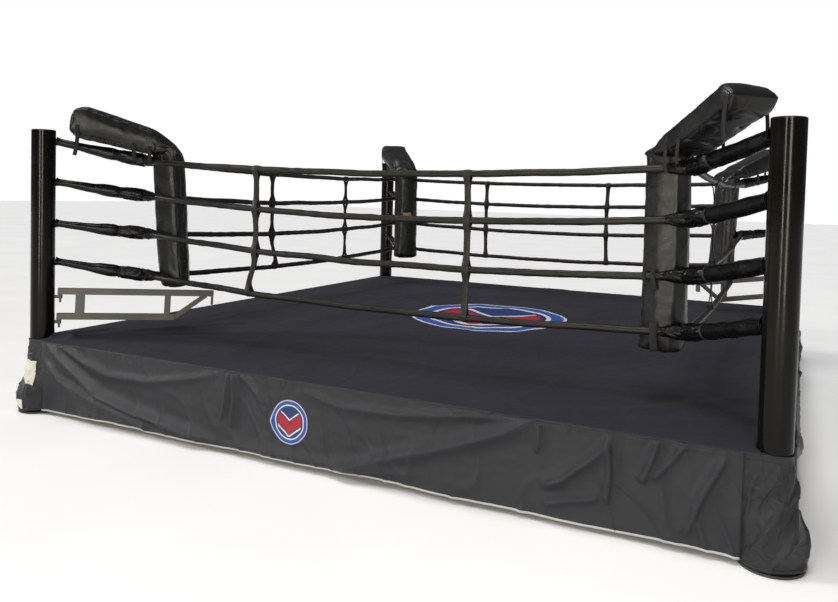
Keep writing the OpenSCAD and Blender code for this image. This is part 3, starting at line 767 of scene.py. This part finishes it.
def corner_wrap(k):
    s = np.linspace(-WRAP_ARC / 2 - FLAP, WRAP_ARC / 2 + FLAP, 150)
    t = np.linspace(0, 1, 110)
    low = wrap_low(k, s)
    z = low[:, None] + (SKIRT_TOP - low[:, None]) * t[None, :]
    s = np.broadcast_to(s[:, None], z.shape)

    def place(s, z, lift):
        angle = np.clip(s / WRAP_ARC, -0.5, 0.5) * np.pi / 2
        beyond = np.sign(s) * np.maximum(abs(s) - WRAP_ARC / 2, 0)
        out = wrap_out(k, s, z) + lift
        rx, ry = -np.cos(angle), np.sin(angle)
        tx, ty = np.sin(angle), np.cos(angle)
        return at_post(k, np.stack([out * rx + beyond * tx, out * ry + beyond * ty, z], -1))

    points = place(s, z, 0.0).reshape(-1, 3)
    faces = np.array(grid_faces(*z.shape))[:, ::-1].tolist()
    o = piece(
        f"corner_skirt_cloth_{POSTS[k]}", (points, faces), WRAP,
        [f"corner_skirt_{POSTS[k]}"],
    )
    thicken(o, 0.0014)
    line = np.linspace(-WRAP_ARC / 2 - FLAP + 0.002, WRAP_ARC / 2 + FLAP - 0.002, 160)
    low = wrap_low(k, line)
    tape = np.stack(
        [place(line, low + dz, lift) for dz, lift in (
            (-0.002, 0.0018), (0.006, 0.0030), (0.014, 0.0018), (0.014, -0.0018),
            (0.006, -0.0018), (-0.002, -0.0018))], 1)
    hem = piece(f"corner_skirt_hem_{POSTS[k]}", tube(tape), WRAP)
    top = place(line, np.full(line.shape, SKIRT_TOP - 0.005), 0.0006)
    sew = place(line, np.full(line.shape, SKIRT_TOP - 0.032), 0.0008)
    seam = join([cord_tube(top, 0.0038, 8), cord_tube(sew, 0.0011, 6)])
    extra = [hem, piece(f"corner_skirt_seam_{POSTS[k]}", seam, WRAP)]
    if k == 0:
        for name, (s0, s1), (z0, z1), cut in (
            ("upper", (-0.15, -0.01), (0.225, 0.375), 0.045),
            ("lower", (-0.085, 0.01), (0.045, 0.10), 0.03),
        ):
            u, v = np.meshgrid(np.linspace(0, 1, 16), np.linspace(0, 1, 14), indexing="ij")
            su = s0 + (s1 - s0) * u
            sz = z0 + (z1 - z0) * v - cut * (0.5 - u) * (1 - v)
            patch = piece(
                f"corner_skirt_patch_{name}",
                (place(su, sz, 0.003).reshape(-1, 3), grid_faces(16, 14)), PALE)
            thicken(patch, 0.001)
            extra.append(patch)


for k in range(4):
    corner_wrap(k)

# ---- ropes ----

EYE_REACH = 0.034 + 0.026 - 0.012 - 0.001
ROPE_TIP = JUNCTION - (EYE_REACH + 0.026 + 0.006 + 0.0003)


def side_ropes(k):
    parts = []
    for i in range(4):
        x = np.linspace(-ROPE_TIP, ROPE_TIP, 180)
        z = rope_height(k, i, x)
        path = np.stack([x, np.full(x.shape, -JUNCTION), z], -1)
        line = np.stack([x, np.full(x.shape, float(i + 4 * k))], -1)
        path[:, 1] += 0.0016 * noise(line, 0.8, 200)
        path[:, 2] += 0.0016 * noise(line, 0.6, 201)
        a = np.linspace(0, 2 * np.pi, 28, endpoint=False)
        r = ROPE_R - 0.0004 + 0.0006 * noise(line, 0.11, 202)
        ends = np.sqrt(np.clip((ROPE_TIP - abs(x)) / 0.02, 0.05, 1))
        seam = 0.0016 * np.exp(-(((a - 4.1) / 0.16) ** 2))
        shape = (r * ends)[:, None] + seam * ends[:, None]
        points, faces = cord_tube(path, shape, 28)
        parts.append((at_side(k, points), faces))
        for end in (-1, 1):
            c = np.linspace(0, 2 * np.pi, 33)
            at = end * (JUNCTION - EYE_REACH)
            loop = np.stack(
                [at + 0.026 * np.cos(c), np.full(c.shape, -JUNCTION),
                 rope_height(k, i, at) + 0.026 * np.sin(c)], -1)
            points, _ = cord_tube(loop[:-1], 0.006, 10, (0, 1, 0))
            parts.append((at_side(k, points), loop_faces(32, 10)))
    boots = []
    for i in range(4):
        for end in (-1, 1):
            u = np.linspace(-0.012, 0.15, 60)
            x = end * (JUNCTION - u)
            a = np.linspace(0, 2 * np.pi, 36, endpoint=False)
            uu, aa = np.meshgrid(u, a, indexing="ij")
            wide = 0.0235 + 0.0125 * (1 - step(0.03, 0.14, uu))
            tall = 0.0235 + 0.0155 * (1 - step(0.05, 0.14, uu))
            twist = np.stack(
                [np.cos(aa + 9 * uu) * 0.07, np.sin(aa + 9 * uu) * 0.07, uu * 0.4], -1)
            seed = 260 + 8 * k + 2 * i + (end > 0)
            rr = 1 + 0.10 * crease(twist, 0.06, seed, 0.3) - 0.05 * noise(twist, 0.05, seed + 9)
            rr = 1 + (rr - 1) * (1 - step(0.12, 0.15, uu))
            z = rope_height(k, i, x)[:, None] + tall * rr * np.sin(aa)
            y = -JUNCTION + wide * rr * np.cos(aa)
            points, faces = tube(np.stack([np.broadcast_to(x[:, None], y.shape), y, z], -1))
            if end > 0:
                faces = [f[::-1] for f in faces]
            boots.append((at_side(k, points), faces))
    piece(f"rope_end_covers_{SIDES[k]}", join(boots), SLEEVE)
    piece(f"rope_covers_{SIDES[k]}", join(parts), ROPE, [f"ropes_{SIDES[k]}"])


for k in range(4):
    side_ropes(k)


def rope_ties():
    """Short straps tied round ropes next to the pads."""
    parts = []
    for k, i, x, drop, wide in (
        (0, 0, 1.85, 0.12, 0.040), (0, 1, 1.84, 0.09, 0.026), (0, 1, 1.79, 0.05, 0.02),
        (3, 0, -1.88, 0.10, 0.03), (1, 0, -1.86, 0.10, 0.03), (2, 1, 1.86, 0.06, 0.022),
    ):
        z = float(rope_height(k, i, x))
        a = np.linspace(-0.5 * np.pi, 1.5 * np.pi, 33)
        r = ROPE_R + 0.003
        loop = np.stack(
            [np.full(a.shape, x), -JUNCTION + r * np.cos(a), z + r * np.sin(a)], -1)
        points, faces = ribbon(loop[:-1], (1, 0, 0), wide, 0.002)
        parts.append((at_side(k, points), faces))
        t = np.linspace(0, 1, 14)
        tail = np.stack(
            [x + 0.012 * t**2, -JUNCTION - r - 0.002 - 0.004 * np.sin(3 * t), z + 0.4 * drop
             - 1.3 * drop * t], -1)
        points, faces = ribbon(tail, (1, 0, 0), wide, 0.002)
        parts.append((at_side(k, points), faces))
    piece("rope_ties", join(parts), STRAP)


rope_ties()

# ---- spacers ----

BOW = {(0, 0): -0.055, (3, 1): -0.06, (2, 0): 0.012, (1, 0): 0.02}


def spacer(k, j, x):
    z = [float(rope_height(k, i, x)) for i in range(4)]
    bow = BOW.get((k, j), 0.006)
    t = np.linspace(0, 1, 90)
    height = z[0] + (z[3] - z[0]) * t
    sway = bow * np.exp(-(((t - 0.06) / 0.14) ** 2)) if (k, j) in ((0, 0), (3, 1)) else (
        bow * np.sin(np.pi * t))
    near = np.zeros(t.shape)
    for i in range(4):
        near = np.maximum(near, np.exp(-(((height - z[i]) / 0.05) ** 2)))
    width = 0.040 + 0.008 * near
    parts = []
    for side in (-1, 1):
        off = side * (0.0035 + 0.021 * near)
        path = np.stack([x + sway, -JUNCTION + off, height], -1)
        line = np.stack([t * 1.2, np.full(t.shape, float(k * 3 + j + side))], -1)
        path[:, 1] += 0.0015 * noise(line, 0.2, 210) * (1 - near)
        rings = []
        for p, w in zip(path, width):
            h = 0.0026
            rings.append([
                p + np.array(q) for q in (
                    (-w / 2, -h * 0.5, 0), (-w / 2 + h, -h, 0), (w / 2 - h, -h, 0),
                    (w / 2, -h * 0.5, 0), (w / 2, h * 0.5, 0), (w / 2 - h, h, 0),
                    (-w / 2 + h, h, 0), (-w / 2, h * 0.5, 0))])
        parts.append(tube(rings))
    for i in range(4):
        shift = float(np.interp(z[i], height, sway))
        u = np.linspace(-0.025, 0.025, 11)
        a = np.linspace(0, 2 * np.pi, 32, endpoint=False)
        r = ROPE_R + 0.0035 + 0.0012 * np.cos(u / 0.025 * 2.4)
        outer = np.stack(
            [np.broadcast_to((x + shift + u)[:, None], (11, 32)),
             -JUNCTION + r[:, None] * np.cos(a),
             z[i] + r[:, None] * np.sin(a)], -1)
        inner = outer.copy()
        inner[..., 1] = -JUNCTION + (ROPE_R + 0.0012) * np.cos(a)
        inner[..., 2] = z[i] + (ROPE_R + 0.0012) * np.sin(a)
        loop = np.concatenate([outer, inner[::-1]]).reshape(-1, 32, 3)
        parts.append((loop.reshape(-1, 3), loop_faces(22, 32)))
    points, faces = join(parts)
    piece(
        f"spacer_{SIDES[k]}_{j + 1}", (at_side(k, points), faces), SPACER,
        ["rope_spacers"],
    )


for k in range(4):
    for j, x in enumerate(SPACER_AT[k]):
        spacer(k, j, x)

# ---- sleeves ----

NECK = [0.027, 0.042, 0.034, 0.030]


def sleeve(k, i):
    """A gathered vinyl sleeve from the post to the rope junction."""
    fall = FALL[k][i]
    long = math.hypot(REACH, fall)
    tilt = math.atan2(fall, REACH)
    seed = 300 + 10 * k + i
    rng = np.random.default_rng(seed)
    tie = 0.395 + rng.uniform(-0.012, 0.012)
    neck = NECK[k]
    rows = [
        (-0.0435, neck + 0.008), (-0.03, neck + 0.003), (-0.01, neck), (0.05, neck + 0.001),
        (0.12, neck + 0.004), (0.20, 0.5 * neck + 0.023), (0.28, 0.0455), (0.34, 0.0475),
        (tie - 0.03, 0.0455),
        (tie, 0.040), (tie + 0.02, 0.0445), (tie + 0.07, 0.0495), (long - 0.04, 0.050),
        (long, 0.0485), (long + 0.02, 0.044), (long + 0.033, 0.034)]
    t = np.linspace(rows[0][0], rows[-1][0], 150)
    r = smooth_line(rows, 400)
    r = np.interp(t, r[:, 0], r[:, 1])
    a = np.linspace(0, 2 * np.pi, 56, endpoint=False)
    tt, aa = np.meshgrid(t, a, indexing="ij")
    rr = np.broadcast_to(r[:, None], tt.shape).copy()
    gather = step(tie - 0.05, tie + 0.02, tt)
    round_it = np.stack([np.cos(aa) * 0.05, np.sin(aa) * 0.05, tt], -1)
    twist = np.stack(
        [np.cos(aa + 3 * tt) * 0.09, np.sin(aa + 3 * tt) * 0.09, tt * 0.35], -1)
    tight = np.clip(gather, 0, 1)
    rr += 0.0010 * noise(round_it, 0.12, seed)
    rr += 0.0042 * crease(twist, 0.07, seed + 500, 0.3) * (0.12 + 0.88 * tight)
    rr -= 0.0034 * crease(twist, 0.05, seed + 900, 0.25) * tight
    rr += 0.0016 * np.cos(9 * aa + 2 * np.sin(7 * tt)) * tight
    rr = np.minimum(rr, 0.0545)
    slack = 0.004 * np.sin(np.pi * np.clip(tt / long, 0, 1))
    outer = np.stack([tt, rr * np.cos(aa), rr * np.sin(aa) * 0.97 - slack], -1)
    inner = np.stack(
        [tt, (rr - 0.0022) * np.cos(aa), (rr - 0.0022) * np.sin(aa) * 0.97 - slack], -1)
    loop = np.concatenate([outer, inner[::-1]])

    def place(p):
        p = np.asarray(p, float).reshape(-1, 3)
        along = p[:, 0] * math.cos(tilt) + p[:, 2] * math.sin(tilt)
        high = -p[:, 0] * math.sin(tilt) + p[:, 2] * math.cos(tilt)
        return at_post(k, np.stack([PIN_D + along, p[:, 1], ROPE_Z[i] + high], -1))

    parts = [(place(loop), loop_faces(len(loop), 56))]
    c = np.linspace(0, 2 * np.pi, 49)[:-1]
    ties = []
    for d in (-0.0035, 0.0035):
        line = np.stack(
            [np.full(c.shape, tie + d), 0.0425 * np.cos(c), 0.0425 * np.sin(c) * 0.97
             - 0.004], -1)
        points, _ = cord_tube(line, 0.0034, 8, (1, 0, 0))
        ties.append((place(points), loop_faces(48, 8)))
    return parts, ties


for k in range(4):
    covers, ties = [], []
    for i in range(4):
        a, b = sleeve(k, i)
        covers += a
        ties += b
    piece(
        f"sleeve_covers_{POSTS[k]}", join(covers), SLEEVE,
        [f"sleeves_{POSTS[k]}"],
    )
    piece(f"sleeve_ties_{POSTS[k]}", join(ties), ROPE)

# ---- corner pads ----


def pad_under(k):
    lift, tuck = PAD_LIFT[k], PAD_TUCK[k]
    return [
        (0.165 + tuck, 1.505 + lift + 0.7 * tuck), (0.300, 1.472 + lift / 2 + tuck),
        (0.700, 1.392), (0.948, 1.392)]


def pad_over(k):
    lift, flat = PAD_LIFT[k], PAD_FLAT[k]
    return [
        (0.930, 1.430), (0.850, 1.495 - flat), (0.765, 1.558 + lift / 5 - flat),
        (0.520, 1.637 + (lift - flat) / 2), (0.275, 1.712 + lift),
        (0.190, 1.685 + lift - PAD_TUCK[k] / 2)]


def lean(k, p):
    """Turns upright points of a pad by its lean, about the fold."""
    a = math.radians(PAD_LEAN[k])
    x, z = p[:, 0] - 0.745, p[:, 2] - 1.4
    return np.stack(
        [0.745 + x * math.cos(a) - z * math.sin(a), p[:, 1],
         1.4 + x * math.sin(a) + z * math.cos(a)], -1)


def at_pad(k, p):
    """A point of post k's frame whose height is given above the canvas."""
    return at_post(k, p) + np.array([0, 0, DECK])


def evaluated(o):
    dg = bpy.context.evaluated_depsgraph_get()
    return bpy.data.meshes.new_from_object(o.evaluated_get(dg), depsgraph=dg)


def swap(o, data):
    old = o.data
    o.modifiers.clear()
    o.data = data
    bpy.data.meshes.remove(old)


def points_of(data, kind="co"):
    values = np.zeros(len(data.vertices) * 3)
    data.vertices.foreach_get(kind, values)
    return values.reshape(-1, 3)


def normals_of(data):
    return points_of(data, "normal")


def put_points(data, co):
    data.vertices.foreach_set("co", np.asarray(co, float).reshape(-1))
    data.update()


def puff(o, voxel, shrink, cap):
    """Remeshes a pad, pulls it in a little and swells it with air."""
    m = o.modifiers.new("remesh", "REMESH")
    m.mode, m.voxel_size = "VOXEL", voxel
    swap(o, evaluated(o))
    m = o.modifiers.new("soften", "SMOOTH")
    m.factor, m.iterations = 0.5, 4
    swap(o, evaluated(o))
    start = points_of(o.data) - shrink * normals_of(o.data)
    put_points(o.data, start)
    c = o.modifiers.new("air", "CLOTH")
    c.settings.quality = 5
    c.settings.mass = 0.3
    c.settings.use_pressure = True
    c.settings.uniform_pressure_force = 4
    c.settings.tension_stiffness = c.settings.compression_stiffness = 12
    c.settings.shear_stiffness = 6
    c.settings.bending_stiffness = 3.0
    c.settings.effector_weights.gravity = 0
    scene = bpy.context.scene
    for f in range(1, 21):
        scene.frame_set(f)
    done = evaluated(o)
    scene.frame_set(1)
    move = points_of(done) - start
    far = np.linalg.norm(move, axis=1, keepdims=True)
    move *= np.minimum(1, cap / np.maximum(far, 1e-9))
    swap(o, done)
    put_points(o.data, start + move)


def corner_pad(k):
    node = nodes[f"corner_pad_{POSTS[k]}"]
    o = bpy.data.objects.new(f"corner_pad_cover_{POSTS[k]}", node.data.copy())
    bpy.context.scene.collection.objects.link(o)
    puff(o, 0.011, 0.007, 0.014)
    high = points_of(o.data)[:, 2] - DECK
    folded = o.vertex_groups.new(name="folded")
    for j, w in enumerate(step(1.36, 1.5, high).tolist()):
        if w > 0:
            folded.add([j], w, "REPLACE")
    m = o.modifiers.new("soften", "SMOOTH")
    m.factor, m.iterations = 0.5, 12
    m = o.modifiers.new("round", "SMOOTH")
    m.factor, m.iterations, m.vertex_group = 0.5, 36, "folded"
    s = o.modifiers.new("finer", "SUBSURF")
    s.levels = s.render_levels = 1
    swap(o, evaluated(o))
    origin, inward, across = post_axes(k)
    co = points_of(o.data)
    local = np.stack(
        [(co - origin) @ inward, (co - origin) @ across, co[:, 2] - DECK], -1)
    tree = BVHTree.FromPolygons(
        [tuple(p) for p in co], [tuple(f.vertices) for f in o.data.polygons])

    def on_pad(line, lift):
        out = []
        for p in line:
            near, normal, _, _ = tree.find_nearest(Vector(at_pad(k, p)))
            out.append(np.array(near) + lift * np.array(normal))
        return np.array(out)

    low = PAD_LOW[k]
    seams = []
    for side in (-1, 1):
        y = side * 0.156
        front = lean(k, np.array([[0.902, y, z] for z in np.linspace(low + 0.015, 1.33, 24)]))
        top = smooth_line([(x, y, z) for x, z in [(0.915, 1.38)] + pad_over(k)[1:5]], 40)
        back = smooth_line(
            [(x, y, z) for x, z in pad_over(k)[4:] + pad_under(k)[:3]], 40)
        seams += [np.concatenate([front, top[4:]]), back[1:]]
    foot = lean(k, np.array([
        [x, y, low + 0.012] for x, y in smooth_line(
            [(0.865, -0.155), (0.905, -0.152), (0.945, -0.11), (0.958, 0.0),
             (0.945, 0.11), (0.905, 0.152), (0.865, 0.155)], 40)]))
    seams.append(foot)
    for side in (-1, 1):
        y = side * 0.118
        seams.append(lean(k, np.array(
            [[0.95, y, z] for z in np.linspace(low + 0.02, 1.36, 24)])))
    dense = np.concatenate(
        [smooth_line(apart(on_pad(line, 0.0)), 5 * len(line)) for line in seams])
    near = KDTree(len(dense))
    for j, p in enumerate(dense):
        near.insert(p, j)
    near.balance()
    groove = np.array([near.find(p)[2] for p in co])
    groove = np.exp(-((groove / 0.0075) ** 2))
    fold = np.exp(-(((local[:, 0] - 0.80) / 0.10) ** 2 + ((local[:, 2] - 1.40) / 0.07) ** 2))
    under = step(-0.3, -0.8, normals_of(o.data)[:, 2]) + fold * step(
        0.10, 0.16, abs(local[:, 1]))
    pleat = np.stack([local[:, 0], local[:, 1] * 0.4, local[:, 2]], -1)
    dents = 0.007 * crease(pleat, 0.12, 400 + k, 0.3) * np.clip(under + fold, 0, 1)
    soft = 0.0013 * noise(local, 0.28, 410 + k) + 0.0003 * noise(local, 0.07, 420 + k)
    lines = 0.0010 * crease(local * np.array([1, 1, 0.6]), 0.26, 430 + k, 0.2)
    move = soft + lines - dents - 0.0035 * groove
    put_points(o.data, co + move[:, None] * normals_of(o.data))
    o.data.polygons.foreach_set("use_smooth", [True] * len(o.data.polygons))
    o.data.materials.clear()
    o.data.materials.append(PAD)
    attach(o, "root")
    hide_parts(f"corner_pad_{POSTS[k]}")
    tree = BVHTree.FromPolygons(
        [tuple(p) for p in points_of(o.data)], [tuple(f.vertices) for f in o.data.polygons])
    welts = [cord_tube(smooth_line(apart(on_pad(line, 0.0006)), 3 * len(line)), 0.0024, 8)
             for line in seams]
    piece(f"corner_pad_welts_{POSTS[k]}", join(welts), WELT)

    straps = []
    near_side = -1 if k in (0, 2) else 1
    for at, up, long, side in (
        (0.235, 0.075, 0.175, near_side), (0.61, 0.03, 0.13, near_side),
        (0.72, 0.04, 0.13, near_side), (0.30, 0.02, 0.12, -near_side),
        (0.60, 0.02, 0.13, -near_side),
    ):
        if k == 0 and side != near_side:
            continue
        xs, zs = zip(*pad_under(k))
        top = float(np.interp(at, xs, zs))
        lean_x = np.random.default_rng(500 + 10 * k + int(at * 100)).uniform(-0.02, 0.02)
        face = on_pad([(at, side * 0.2, top + z) for z in np.linspace(up, 0.014, 7)], 0.003)
        last = face[-1]
        t = np.linspace(0.08, 1, 20)[:, None]
        hang = last - t * np.array([0, 0, long]) + lean_x * t**2 * inward
        hang = hang + 0.006 * np.sin(np.pi * t) * side * across
        line = smooth_line(apart(np.concatenate([face, hang]), 0.004), 60)
        straps.append(ribbon(line, inward, 0.027, 0.0026))
    piece(f"pad_strap_tails_{POSTS[k]}", join(straps), STRAP, ["pad_straps"])
    return on_pad


for k in range(4):
    on_pad = corner_pad(k)
    if k in (2, 3):
        wide, high, mid, mark = (0.13, 0.05, 0.86, TAN) if k == 3 else (0.05, 0.04, 0.9, PALE)
        u, v = np.meshgrid(np.linspace(-1, 1, 15), np.linspace(-1, 1, 9), indexing="ij")
        line = lean(k, np.stack(
            [np.full(u.size, 1.05), u.ravel() * wide / 2, mid + v.ravel() * high / 2], -1))
        label = piece(
            f"pad_label_{POSTS[k]}", (on_pad(line, 0.0016), grid_faces(15, 9)), mark)
        thicken(label, 0.001)

# ---- floor and light ----

size = 60
floor_shape = (
    [(-size, -size, -0.001), (size, -size, -0.001), (size, size, -0.001), (-size, size, -0.001)],
    [[0, 1, 2, 3]],
)
n = Nodes("pale_floor")
tone = n.mix(n.spread(n.noise(0.8), 0.0, 1.0), (0.86, 0.86, 0.86, 1), (0.90, 0.90, 0.90, 1))
ground = finish_up(n, tone, 0.8, 0.05, 2.0, None, Specular_IOR_Level=0.1)
floor = piece("floor", floor_shape, ground, body=None)

world = bpy.data.worlds.new("studio")
world.use_nodes = True
tree = world.node_tree
back = tree.nodes["Background"]
back.inputs["Color"].default_value = (1.0, 1.0, 1.0, 1)
seen_by = tree.nodes.new("ShaderNodeLightPath")
power = tree.nodes.new("ShaderNodeMapRange")
power.inputs["To Min"].default_value = 0.14
power.inputs["To Max"].default_value = 1.0
tree.links.new(seen_by.outputs["Is Camera Ray"], power.inputs["Value"])
tree.links.new(power.outputs["Result"], back.inputs["Strength"])
bpy.context.scene.world = world


def lamp(name, kind, power, colour, toward, **settings):
    data = bpy.data.lights.new(name, kind)
    data.energy, data.color = power, colour
    for key, value in settings.items():
        setattr(data, key, value)
    o = bpy.data.objects.new(name, data)
    bpy.context.scene.collection.objects.link(o)
    o.rotation_mode = "QUATERNION"
    o.rotation_quaternion = Vector(toward).to_track_quat("-Z", "Y")
    return o


def softbox(name, place, target, wide, high, power, colour):
    toward = Vector(target) - Vector(place)
    o = lamp(name, "AREA", power, colour, toward, shape="RECTANGLE", size=wide, size_y=high)
    o.location = place


def sun(name, toward, power, spread, colour=(1, 1, 1)):
    lamp(name, "SUN", power, colour, toward, angle=math.radians(spread))


sun("overhead", (0.1, 0.15, -1), 2.0, 35)
sun("left", (0.9, 0.36, -0.40), 1.5, 10, (1.0, 0.985, 0.96))
softbox("window_right", (5.0, -10.5, 2.4), (2.5, -2.5, 1.4), 1.6, 4.5, 330, (1.0, 0.93, 0.80))
softbox("window_left", (0.4, -11.0, 2.4), (-2.5, -2.5, 1.4), 0.8, 4.5, 280, (1.0, 0.93, 0.80))

bpy.context.scene.view_settings.view_transform = "Standard"
